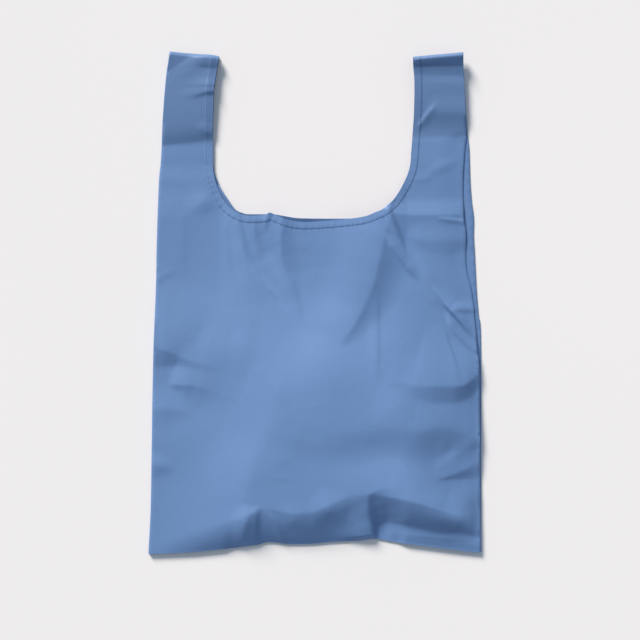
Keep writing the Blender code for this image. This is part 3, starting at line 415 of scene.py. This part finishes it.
def fold_height(fold, x, y):
    """Height that one fold adds at the points x, y: a crest with two flanks and tapering ends."""
    crest, (left_shape, left), (right_shape, right) = fold
    crest = np.array(crest, float)
    widths = [np.broadcast_to(np.array(w, float), len(crest)) for w in (left, right)]
    line = curve_through(np.column_stack([crest, *widths]), 3.0)
    rises = np.abs(line[:, 2:3])
    taper = 0.25 + 0.75 * np.sqrt(rises / rises.max())
    taper = taper + (1 - taper) * np.clip(line[:, 3:] / 20 - 1, 0, 1)
    line[:, 3:] *= taper
    reach = line[:, 3:].max() * 1.1
    near = (x > line[:, 0].min() - reach) & (x < line[:, 0].max() + reach)
    near &= (y > line[:, 1].min() - reach) & (y < line[:, 1].max() + reach)
    x_near, y_near = x[near], y[near]
    nearest = np.full(x_near.shape, np.inf)
    height = np.zeros(x_near.shape)
    for (ax, ay, a_rise, a_left, a_right), (bx, by, b_rise, b_left, b_right) in zip(line, line[1:]):
        run_x, run_y = bx - ax, by - ay
        t = np.clip(((x_near - ax) * run_x + (y_near - ay) * run_y) / (run_x ** 2 + run_y ** 2), 0, 1)
        distance = np.hypot(x_near - ax - t * run_x, y_near - ay - t * run_y)
        on_left = run_x * (y_near - ay) - run_y * (x_near - ax) > 0
        width = np.where(on_left, a_left + t * (b_left - a_left), a_right + t * (b_right - a_right))
        share = distance / width
        profile = np.where(on_left, FLANKS[left_shape](share), FLANKS[right_shape](share))
        rise = (a_rise + t * (b_rise - a_rise)) * profile
        height = np.where(distance < nearest, rise, height)
        nearest = np.minimum(nearest, distance)
    result = np.zeros(x.shape)
    result[near] = height
    return result


def lift(x, y):
    """Height of the curled handle ends, which all the layers share."""
    (ax, ay), (bx, by) = CORNER_CREASE
    length = np.hypot(bx - ax, by - ay)
    corner_x, corner_y = LEFT_SIDE[-1]
    past = ((bx - ax) * (y - ay) - (by - ay) * (x - ax)) / length
    most = ((bx - ax) * (corner_y - ay) - (by - ay) * (corner_x - ax)) / length
    left = np.clip(past / most, 0, None)
    right = np.clip((y - CURL_START) / (RIGHT_END[-1][1] - CURL_START), 0, None)
    return np.where(x > 0, HANDLE_CURL * right, CORNER_CURL * left)


def pressed(x, y):
    """How closely the layers lie on each other, from 0 to 1: at the sides and in the handles."""
    half = np.where(x < 0, -edge_x(LEFT_SIDE, y), edge_x(FRONT_RIGHT_SIDE, y))
    at_side = (1 - ease((half - x) / 30)) * (x > 0)
    in_handle = np.where(x < 0, ease((y - 140) / 25), ease((y - 188) / 20))
    off_ends = ease((286 - y) / 100) * ease((y - edge_y(BOTTOM, x) - 6) / 14)
    return np.maximum(at_side, in_handle) * off_ends


def soften(grid, times):
    """Blur a grid lightly, so that its creases have a small radius."""
    for _ in range(times):
        for axis in (0, 1):
            grid = (2 * grid + np.roll(grid, 1, axis) + np.roll(grid, -1, axis)) / 4
    return grid


class Relief:
    """Height of the front cloth without its hem, worked out once on a fine grid."""

    def __init__(self):
        self.low = np.array([-GRID_HALF_WIDTH, -GRID_HALF_HEIGHT])
        xs = np.arange(self.low[0], GRID_HALF_WIDTH, RELIEF_STEP)
        ys = np.arange(self.low[1], GRID_HALF_HEIGHT, RELIEF_STEP)
        x, y = np.meshgrid(xs, ys)
        half = np.where(x < 0, -edge_x(LEFT_SIDE, y), edge_x(FRONT_RIGHT_SIDE, y))
        from_side = half - np.abs(x)
        from_bottom = y - edge_y(BOTTOM, x)
        top = np.where(x < 0, edge_y(LEFT_END, x), edge_y(RIGHT_END, x))
        from_top = np.where(y > NECK_Y + 40, top - y, 100.0)
        swells = [(crest, ("soft", left), ("soft", right)) for crest, left, right in SWELLS.values()]
        folds = soften(sum(fold_height(fold, x, y) for fold in swells), SWELL_SOFTENING)
        folds += sum(fold_height(fold, x, y) for fold in FOLDS.values())
        folds *= 1 - 0.25 * (1 - ease(from_side / 14)) * ease((150 - y) / 20)
        folds *= np.clip(from_bottom / 5, 0, 1)
        folds *= np.clip(from_top / 2.5, 0, 1)
        from_inner = edge_x(LEFT_INNER, y) - x
        folds *= 1 - 0.2 * (1 - ease(from_inner / 8)) * (x < 0) * ease((y - 150) / 30)
        rise = edge_y(BOTTOM_TURN, x) - edge_y(BOTTOM, x)
        flat_part = FOOT_WIDTH * ease((x - 66) / 20) * ease((200 - x) / 30)
        turned = np.clip((from_bottom - flat_part) / (rise - flat_part), 0, 1)
        rounding = 0.2 + 0.35 * ease((68 - x) / 10) + 0.25 * ease((-60 - x) / 30)
        turned += rounding * turned * (1 - turned)
        lower = ease((-80 - y) / 160)
        left_side = 182 + (90 + 38 * ease((-40 - x) / 60) - 182) * lower
        side = np.where(x < 0, left_side, 112 - 27 * lower)
        swell = ease(from_side / side) * turned * (1 - ease((y + 170) / 330))
        low = ease((SEAM_X - 5 - np.abs(x)) / 14) * (1 - np.clip(from_bottom / rise, 0, 1))
        gape = np.clip(1 - (x / 108) ** 2, 0, 1) * ease((y + 5) / 95)
        height = FRONT_LEVEL - (FRONT_LEVEL - FRONT_EDGE_LEVEL) * low - FRONT_DROP * pressed(x, y)
        height = np.maximum(height + BODY_LOFT * swell + MOUTH_GAPE * gape + folds, LOWEST_FRONT)
        self.grid = soften(height, FOLD_SOFTENING) + lift(x, y)
        bend = np.abs(4 * self.grid - sum(np.roll(self.grid, s, a) for s in (1, -1) for a in (0, 1)))
        self.bend = soften(bend, FOLD_SOFTENING)

    def sample(self, grid, x, y):
        u = (np.asarray(x, float) - self.low[0]) / RELIEF_STEP
        v = (np.asarray(y, float) - self.low[1]) / RELIEF_STEP
        i = np.clip(u.astype(int), 0, grid.shape[1] - 2)
        j = np.clip(v.astype(int), 0, grid.shape[0] - 2)
        u, v = u - i, v - j
        lower = grid[j, i] * (1 - u) + grid[j, i + 1] * u
        upper = grid[j + 1, i] * (1 - u) + grid[j + 1, i + 1] * u
        return lower * (1 - v) + upper * v

    def height(self, x, y):
        return self.sample(self.grid, x, y)

    def bends(self, x, y):
        return self.sample(self.bend, x, y)


class Hem:
    """The turned edge of the neck and the inner handle sides of one cloth half."""

    def __init__(self, neck):
        self.edge = smooth_line(LEFT_INNER[:-1] + neck[:-1] + RIGHT_INNER, 2.0)
        line = np.array(self.edge)
        run = np.gradient(line, axis=0)
        run /= np.hypot(run[:, 0], run[:, 1])[:, None]
        self.line = line
        self.inward = np.column_stack([run[:, 1], -run[:, 0]])
        self.along = np.concatenate([[0], np.cumsum(np.hypot(*np.diff(line, axis=0).T))])

    def offset(self, distance, step):
        """Points at a distance inside the edge, a step apart."""
        shifted = self.line + self.inward * distance
        length = np.concatenate([[0], np.cumsum(np.hypot(*np.diff(shifted, axis=0).T))])
        places = np.arange(step, length[-1] - step, step)
        both = [np.interp(places, length, shifted[:, k]) for k in (0, 1)]
        return [tuple(p) for p in np.column_stack(both)]

    def nearest(self, x, y):
        """Distance from the edge, and the place along it, for points near it."""
        distance = np.full(x.shape, np.inf)
        place = np.zeros(x.shape)
        for (ax, ay), (bx, by), start in zip(self.line, self.line[1:], self.along):
            run_x, run_y = bx - ax, by - ay
            length = np.hypot(run_x, run_y)
            t = np.clip(((x - ax) * run_x + (y - ay) * run_y) / length ** 2, 0, 1)
            d = np.hypot(x - ax - t * run_x, y - ay - t * run_y)
            place = np.where(d < distance, start + t * length, place)
            distance = np.minimum(distance, d)
        return distance, place

    def height(self, x, y):
        """Thickness of the hem's turned layers, the row of the stitches and its puckers."""
        distance, place = self.nearest(x, y)
        band = 1 - ease((distance - HEM_WIDTH + 0.9) / 1.4)
        groove = np.exp(-((distance - HEM_WIDTH + STITCH_INSET) / 0.7) ** 2)
        waves = np.sin(place * 0.92 + 1.4 * np.sin(place * 0.17)) + 0.6 * np.sin(place * 0.37 + 1.0)
        pucker = waves * np.exp(-((distance - HEM_WIDTH + 1.5) / 4.0) ** 2)
        pull = 1 - 0.65 * ease((y - 120) / 60)
        return HEM_RISE * band - pull * (0.18 * groove - 0.12 * pucker)


def inside(outline, x, y):
    """Tell which of the points x, y lie within a closed outline."""
    result = np.zeros(x.shape, bool)
    for (ax, ay), (bx, by) in zip(outline, outline[1:] + outline[:1]):
        if ay == by:
            continue
        crosses = (ay > y) != (by > y)
        result ^= crosses & (x < (bx - ax) * (y - ay) / (by - ay) + ax)
    return result


def grid_points(outline, step, chosen=None):
    """Points of a triangular grid inside an outline, where the chosen test holds."""
    low, high = np.min(outline, axis=0), np.max(outline, axis=0)
    rows = np.arange(low[1], high[1], step * 0.866)
    x, y = np.meshgrid(np.arange(low[0], high[0], step), rows)
    x = x + (np.arange(len(rows)) % 2)[:, None] * step / 2
    x, y = x.ravel(), y.ravel()
    keep = inside(outline, x, y)
    if chosen is not None:
        keep &= chosen(x, y)
    return list(zip(x[keep].tolist(), y[keep].tolist()))


def merged(groups):
    """Join groups of (points, room), leaving out a point that is too near an earlier one."""
    kept = []
    for points, room in groups:
        tree = KDTree(max(len(kept), 1))
        for i, (x, y) in enumerate(kept):
            tree.insert((x, y, 0), i)
        tree.balance()
        free = [p for p in points if not kept or tree.find((*p, 0))[2] > room]
        kept += free
    return kept


class Sheet:
    """Collects the corners and faces of one open sheet of cloth."""

    def __init__(self):
        self.corners = []
        self.faces = []

    def add_layer(self, outline, points, height, face_up):
        """Fill an outline at its height, and return the numbers of the outline's corners."""
        count = len(outline)
        corners = [Vector(p) for p in outline + points]
        flat, _, faces, origins, _, _ = delaunay_2d_cdt(corners, [], [list(range(count))], 1, 0.001)
        first = len(self.corners)
        xs, ys = np.array([v.x for v in flat]), np.array([v.y for v in flat])
        self.corners += list(zip(xs.tolist(), ys.tolist(), height(xs, ys).tolist()))
        for face in faces:
            self.faces.append(tuple(first + i for i in (face if face_up else face[::-1])))
        number = {source: i for i, sources in enumerate(origins) for source in sources}
        return [first + number[i] for i in range(count)]

    def add_fold(self, upper, lower, side):
        """Join two edges by a rounded fold that stands out to the given side."""
        rows = [upper]
        for share in (0.2, 0.5, 0.8):
            row = []
            for a, b in zip(upper, lower):
                (ax, ay, az), (bx, by, bz) = self.corners[a], self.corners[b]
                bulge = side * min(abs(az - bz), 4 * CLOTH) / 2 * np.sin(np.pi * share)
                self.corners.append((ax + (bx - ax) * share + bulge, ay, az + (bz - az) * share))
                row.append(len(self.corners) - 1)
            rows.append(row)
        rows.append(lower)
        for one, other in zip(rows, rows[1:]):
            for i in range(len(one) - 1):
                quad = (one[i], other[i], other[i + 1], one[i + 1])
                self.faces.append(quad if side > 0 else quad[::-1])

    def build(self, name, material):
        """Make the object, give it the cloth's thickness and its material, and shade it smooth."""
        mesh = bpy.data.meshes.new(name)
        mesh.from_pydata([Vector(c) * MM for c in self.corners], [], self.faces)
        cloth = bpy.data.objects.new(name, mesh)
        bpy.context.collection.objects.link(cloth)
        solid = cloth.modifiers.new("Cloth thickness", "SOLIDIFY")
        solid.thickness = CLOTH * MM
        solid.offset = 0.0
        graph = bpy.context.evaluated_depsgraph_get()
        cloth.data = bpy.data.meshes.new_from_object(cloth.evaluated_get(graph))
        cloth.modifiers.clear()
        cloth.data.name = name
        cloth.data.materials.clear()
        cloth.data.materials.append(material)
        cloth.data.shade_smooth()
        cloth.data.set_sharp_from_angle(angle=np.radians(60))
        return cloth


def gusset_edge(neck, side):
    """Part of the neck that bounds a gusset, from the handle down to the side seam."""
    line = neck if side < 0 else neck[::-1]
    kept = [line[0]]
    for before, point in zip(line, line[1:]):
        if side * point[0] <= SEAM_X:
            if side * before[0] > SEAM_X:
                t = (side * before[0] - SEAM_X) / (side * (before[0] - point[0]))
                kept.append((side * SEAM_X, before[1] + t * (point[1] - before[1])))
            break
        kept.append(point)
    return kept


def side_strip(side, neck, outer):
    """Outline of one gusset half: up its outer edge, then round to the bottom again."""
    end = LEFT_END if side < 0 else RIGHT_END[::-1]
    inner = LEFT_INNER if side < 0 else RIGHT_INNER[::-1]
    down = inner + gusset_edge(neck, side)[1:]
    seam_bottom = (side * SEAM_X, float(edge_y(BOTTOM, side * SEAM_X)))
    along = [p for p in BOTTOM if side * p[0] > SEAM_X + 1]
    along = sorted(along, key=lambda p: side * p[0])[:-1]
    rest = end[1:-1] + down + spaced([down[-1], seam_bottom], STRIP_STEP)[1:] + along
    return outer + spaced([outer[-1]] + rest + [outer[0]], STRIP_STEP)[1:-1]


def make_half(name, neck, right_side, is_front, relief, material):
    """One half of the bag: a face and the two gusset strips folded in at its sides."""
    sheet = Sheet()
    hem = Hem(neck)
    step = EDGE_STEP if is_front else BACK_STEP

    def face_height(x, y):
        if is_front:
            return relief.height(x, y) + hem.height(x, y)
        distance, _ = hem.nearest(x, y)
        share = ease((60 - x) / 80) * ease((150 - y) / 20) * ease((y - 80) / 10)
        return BACK_LEVEL + lift(x, y) + BACK_LIP * share * (1 - ease(distance / 11))

    def strip_height(x, y):
        if is_front:
            return FRONT_GUSSET_LEVEL - FRONT_GUSSET_DROP * pressed(x, y) + lift(x, y)
        return BACK_GUSSET_LEVEL - BACK_GUSSET_DROP * pressed(x, y) + lift(x, y)

    left_outer = smooth_line(LEFT_SIDE, step)
    right_outer = smooth_line(right_side[::-1], step)
    bottom = smooth_line([left_outer[0]] + BOTTOM[1:-1] + [right_outer[0]], step)
    mouth = spaced(LEFT_END[:-1] + hem.edge + RIGHT_END[1:], step)
    outline = left_outer + mouth[1:-1] + right_outer[::-1] + bottom[1:-1][::-1]
    rows, fine = [], []
    if is_front:
        rows = [(hem.offset(d, HEM_LINE_STEP), 0.6) for d in HEM_LINES]
        fine = grid_points(outline, FINE_STEP, lambda x, y: relief.bends(x, y) > LEAST_BEND)
    plain = grid_points(outline, PLAIN_STEP if is_front else BACK_STEP)
    edge = ([tuple(p) for p in outline], 0)
    points = merged([edge] + rows + [(fine, FINE_STEP * 0.6), (plain, PLAIN_STEP * 0.6)])
    numbers = sheet.add_layer(outline, points[len(outline):], face_height, is_front)
    start = len(left_outer) + len(mouth) - 2
    left_edge = numbers[:len(left_outer)]
    right_edge = numbers[start:start + len(right_outer)][::-1]
    for side, edge, outer in ((-1, left_edge, left_outer), (1, right_edge, right_outer)):
        strip = side_strip(side, neck, outer)
        inner = sheet.add_layer(strip, grid_points(strip, STRIP_STEP), strip_height, not is_front)
        inner = inner[:len(edge)]
        upper, lower = (edge, inner) if is_front else (inner, edge)
        sheet.add_fold(upper, lower, side)
    return sheet.build(name, material), face_height, hem


def make_stitches(name, hem, height, material):
    """The row of separate stitches that holds a hem, each a short sunk loop of thread."""
    line = np.array(hem.offset(HEM_WIDTH - STITCH_INSET, STITCH_SAMPLE))
    pitch = int((STITCH_LENGTH + STITCH_GAP) / STITCH_SAMPLE)
    span = int(STITCH_LENGTH / STITCH_SAMPLE)
    corners, faces = [], []
    sides = STITCH_SIDES
    for start in range(0, len(line) - pitch, pitch):
        run = line[start:start + span + 1:2]
        direction = run[-1] - run[0]
        direction /= np.hypot(*direction)
        across = np.array([-direction[1], direction[0]])
        first = len(corners)
        for k, (x, y) in enumerate(run):
            share = k / (len(run) - 1)
            girth = THREAD / 2 * (0.25 + 0.75 * np.sin(np.pi * np.clip(share, 0.06, 0.94)) ** 0.5)
            z = float(height(np.array([x]), np.array([y]))[0]) + CLOTH / 2
            z += THREAD * 0.35 * np.sin(np.pi * share)
            for s in range(sides):
                turn = 2 * np.pi * s / sides
                side, up = girth * np.cos(turn), girth * np.sin(turn) * 0.8
                corners.append(Vector((x + across[0] * side, y + across[1] * side, z + up)) * MM)
        rings = len(run)
        for k in range(rings - 1):
            for s in range(sides):
                a, b = first + k * sides + s, first + k * sides + (s + 1) % sides
                faces.append((a, a + sides, b + sides, b))
        faces.append(tuple(first + s for s in range(sides)))
        faces.append(tuple(first + (rings - 1) * sides + s for s in reversed(range(sides))))
    mesh = bpy.data.meshes.new(name)
    mesh.from_pydata(corners, [], faces)
    mesh.materials.append(material)
    mesh.shade_smooth()
    stitches = bpy.data.objects.new(name, mesh)
    bpy.context.collection.objects.link(stitches)
    return stitches


# Metres from one thread of the weave to the next, and from one turn of the twist to the next
WEAVE_PITCH = 0.0006
TWIST_PITCH = 0.0005


class Nodes:
    """Short way to build a material's node tree."""

    def __init__(self, name):
        self.material = bpy.data.materials.new(name)
        self.material.use_nodes = True
        self.tree = self.material.node_tree
        self.shader = self.tree.nodes["Principled BSDF"]

    def add(self, kind, inputs=None, **settings):
        node = self.tree.nodes.new(kind)
        for key, value in settings.items():
            setattr(node, key, value)
        for key, value in (inputs or {}).items():
            if isinstance(value, bpy.types.NodeSocket):
                self.tree.links.new(value, node.inputs[key])
            else:
                node.inputs[key].default_value = value
        return node

    def math(self, operation, a, b=0.0, c=0.0):
        return self.add("ShaderNodeMath", {0: a, 1: b, 2: c}, operation=operation).outputs[0]

    def ranged(self, value, low, high, to_low=0.0, to_high=1.0):
        """Carry a value from one range to another, held at both ends."""
        inputs = {"Value": value, "From Min": low, "From Max": high}
        inputs.update({"To Min": to_low, "To Max": to_high})
        return self.add("ShaderNodeMapRange", inputs).outputs[0]

    def into(self, socket, value):
        self.tree.links.new(value, self.shader.inputs[socket])


def cloth_material():
    """Thin woven nylon: a fine plain weave, small crumples, and a soft satin sheen, with painted light
    where only two layers lie and painted shade on the handles.
    """
    n = Nodes("blue nylon cloth")
    place = n.add("ShaderNodeTexCoord").outputs["Object"]
    x, y, _ = n.add("ShaderNodeSeparateXYZ", {0: place}).outputs
    # Painted light: the cloth is painted lighter where only two layers lie, between the side seams and
    # below the hem, in place of floor light coming through them, and darker where more layers lie; one
    # ramp spreads this softly over 56 mm, the other makes a sharp step at the seam.
    over_seam = n.math("SUBTRACT", SEAM_X * MM, n.math("ABSOLUTE", x))
    wide = n.ranged(over_seam, -0.040, 0.016)
    crisp = n.ranged(over_seam, 0.0, 0.0012)
    upper = n.ranged(y, -0.02, 0.03, 0.0, 0.5)
    left = n.ranged(x, 0.03, -0.03)
    share = n.math("MULTIPLY", upper, left)
    two_layer_light_share = n.add("ShaderNodeMix", {0: share, 2: wide, 3: crisp}).outputs[0]
    below_hem = n.ranged(y, 0.130, 0.100)
    painted_through_light = n.math("MULTIPLY", two_layer_light_share, below_hem)
    # Painted shade: above their storage crease the handles are painted 14 % darker, in place of the shade
    # their slope away from the light would give.
    above_crease = n.math("MULTIPLY_ADD", x, -0.028, y)
    handle_painted_shade = n.ranged(above_crease, 0.187, 0.193, 1.0, 0.86)
    patches = n.add("ShaderNodeTexNoise",
                    {"Vector": place, "Scale": 9.0, "Detail": 4.0, "Roughness": 0.55})
    fleck = n.add("ShaderNodeTexNoise", {"Vector": place, "Scale": 420.0, "Detail": 2.0})
    # Painted shade and painted light: the darker colour where four layers lie, the lighter one where two
    # lie.
    four_layer_shaded_colour = (0.131, 0.240, 0.472, 1.0)
    two_layer_lit_colour = (0.139, 0.254, 0.500, 1.0)
    base = n.add("ShaderNodeMix", {0: painted_through_light, 6: four_layer_shaded_colour, 7: two_layer_lit_colour}, data_type="RGBA")
    shade = n.math("MULTIPLY_ADD", patches.outputs[0], 0.07, 0.965)
    shade = n.math("MULTIPLY", shade, n.math("MULTIPLY_ADD", fleck.outputs[0], 0.05, 0.975))
    shade = n.math("MULTIPLY", shade, handle_painted_shade)
    shaded = n.add("ShaderNodeVectorMath", {0: base.outputs[2], 3: shade}, operation="SCALE")
    n.into("Base Color", shaded.outputs[0])
    thread_x = n.math("SINE", n.math("MULTIPLY", x, 2 * np.pi / WEAVE_PITCH))
    thread_y = n.math("SINE", n.math("MULTIPLY", y, 2 * np.pi / WEAVE_PITCH))
    weave = n.math("MULTIPLY", thread_x, thread_y)
    crumple = n.add("ShaderNodeTexNoise", {"Vector": place, "Scale": 55.0, "Detail": 5.0,
                                           "Roughness": 0.5, "Distortion": 0.8})
    fine = n.add("ShaderNodeBump", {"Height": weave, "Strength": 0.12, "Distance": 0.00008})
    rough = n.add("ShaderNodeBump", {"Height": crumple.outputs[0], "Strength": 0.14,
                                     "Distance": 0.0016, "Normal": fine.outputs[0]})
    n.into("Normal", rough.outputs[0])
    n.into("Roughness", n.ranged(fleck.outputs[0], 0.0, 1.0, 0.46, 0.56))
    n.shader.inputs["Specular IOR Level"].default_value = 0.35
    n.shader.inputs["Sheen Weight"].default_value = 0.12
    n.shader.inputs["Sheen Roughness"].default_value = 0.45
    n.shader.inputs["Sheen Tint"].default_value = (0.75, 0.85, 1.0, 1.0)
    return n.material


def thread_material():
    """Twisted polyester sewing thread, a shade deeper than the cloth."""
    n = Nodes("blue sewing thread")
    place = n.add("ShaderNodeTexCoord").outputs["Object"]
    x, y, z = n.add("ShaderNodeSeparateXYZ", {0: place}).outputs
    slant = n.math("ADD", x, n.math("ADD", y, z))
    twist = n.math("SINE", n.math("MULTIPLY", slant, 2 * np.pi / TWIST_PITCH))
    # Painted shade: the thread is painted darker in the grooves of its twist and lighter on its ridges,
    # along with the bump.
    tone = n.ranged(twist, -1.0, 1.0, 0.8, 1.1)
    colour = n.add("ShaderNodeVectorMath", {0: (0.075, 0.140, 0.300), 3: tone}, operation="SCALE")
    n.into("Base Color", colour.outputs[0])
    bump = n.add("ShaderNodeBump", {"Height": twist, "Strength": 0.5, "Distance": 0.00008})
    n.into("Normal", bump.outputs[0])
    n.shader.inputs["Roughness"].default_value = 0.55
    n.shader.inputs["Sheen Weight"].default_value = 0.1
    return n.material


def floor_material():
    """Matt pale paper with a very faint tone across it."""
    n = Nodes("pale floor")
    place = n.add("ShaderNodeTexCoord").outputs["Object"]
    drift = n.add("ShaderNodeTexNoise", {"Vector": place, "Scale": 1.1, "Detail": 1.0})
    mix = n.add("ShaderNodeMix", {0: drift.outputs[0], 6: (0.885, 0.868, 0.882, 1.0),
                                  7: (0.855, 0.842, 0.855, 1.0)}, data_type="RGBA")
    n.into("Base Color", mix.outputs[2])
    n.shader.inputs["Roughness"].default_value = 0.9
    n.shader.inputs["Specular IOR Level"].default_value = 0.1
    return n.material


def make_floor():
    """A flat sheet of the floor, just under the bag."""
    half, level = 4.0, -0.0002
    corners = [(x, y, level) for x, y in ((-half, -half), (half, -half), (half, half), (-half, half))]
    mesh = bpy.data.meshes.new("floor")
    mesh.from_pydata(corners, [], [(0, 1, 2, 3)])
    mesh.materials.append(floor_material())
    floor = bpy.data.objects.new("floor", mesh)
    bpy.context.collection.objects.link(floor)


def make_light():
    """One wide soft source from beyond the handles, a little to the left, and even fill."""
    elevation, swing = np.radians(25), np.radians(30)
    ambient = 0.34
    level_part = np.cos(elevation)
    towards = Vector((-np.sin(swing) * level_part, np.cos(swing) * level_part, np.sin(elevation)))
    lamp = bpy.data.lights.new("window", "SUN")
    lamp.energy = float((1 - ambient) * np.pi / np.sin(elevation))
    lamp.angle = float(np.radians(20))
    lamp.color = (1.075, 0.99, 0.89)
    sun = bpy.data.objects.new("window", lamp)
    sun.rotation_euler = towards.to_track_quat("Z", "Y").to_euler()
    bpy.context.collection.objects.link(sun)
    world = bpy.data.worlds.new("room")
    world.use_nodes = True
    background = world.node_tree.nodes["Background"]
    background.inputs["Color"].default_value = (0.82, 0.985, 1.17, 1.0)
    background.inputs["Strength"].default_value = ambient
    bpy.context.scene.world = world


def make_camera():
    """Straight above the bag, with a long lens that takes in the photograph's frame."""
    wide, away = 0.7535, 1.8
    camera = bpy.data.cameras.new("camera")
    camera.sensor_width = 36.0
    camera.lens = camera.sensor_width * away / wide
    view = bpy.data.objects.new("camera", camera)
    view.location = (0.0062, -0.0200, away)
    bpy.context.collection.objects.link(view)
    bpy.context.scene.camera = view


def flat_area(outline):
    """Area of a closed outline, in square metres."""
    points = np.array(outline)
    x, y = points[:, 0] * MM, points[:, 1] * MM
    return abs(float(np.sum(x * np.roll(y, -1) - np.roll(x, -1) * y))) / 2


def cut_area(neck, right_side):
    """Area of one half as it was cut: its face and its two gusset strips."""
    face = LEFT_SIDE + LEFT_END[1:-1] + LEFT_INNER[:-1] + neck[:-1] + RIGHT_INNER + RIGHT_END[1:-1]
    face += right_side + BOTTOM[1:-1][::-1]
    strips = [side_strip(-1, neck, LEFT_SIDE), side_strip(1, neck, right_side[::-1])]
    return sum(flat_area(outline) for outline in [face] + strips)


def main():
    """Dress the frame: both cloth halves, their stitches, and the stage."""
    bpy.context.scene.view_settings.view_transform = "Standard"
    cloth = cloth_material()
    thread = thread_material()
    relief = Relief()
    halves = [("front", "front_panel", FRONT_NECK, FRONT_RIGHT_SIDE, True),
              ("back", "back_panel", BACK_NECK, BACK_RIGHT_SIDE, False)]
    for side, node, neck, right_side, is_front in halves:
        half, height, hem = make_half(side + "_cloth", neck, right_side, is_front, relief, cloth)
        stitches = make_stitches(side + "_hem_stitches", hem, height, thread)
        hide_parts(node)
        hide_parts(side + "_neck_stitching")
        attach(half, "root")
        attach(stitches, "root")
        cut_area(neck, right_side)
    for name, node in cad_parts.items():
        if name.endswith("_thread"):
            node.data.materials.clear()
            node.data.materials.append(thread)
    make_floor()
    make_light()
    make_camera()


main()
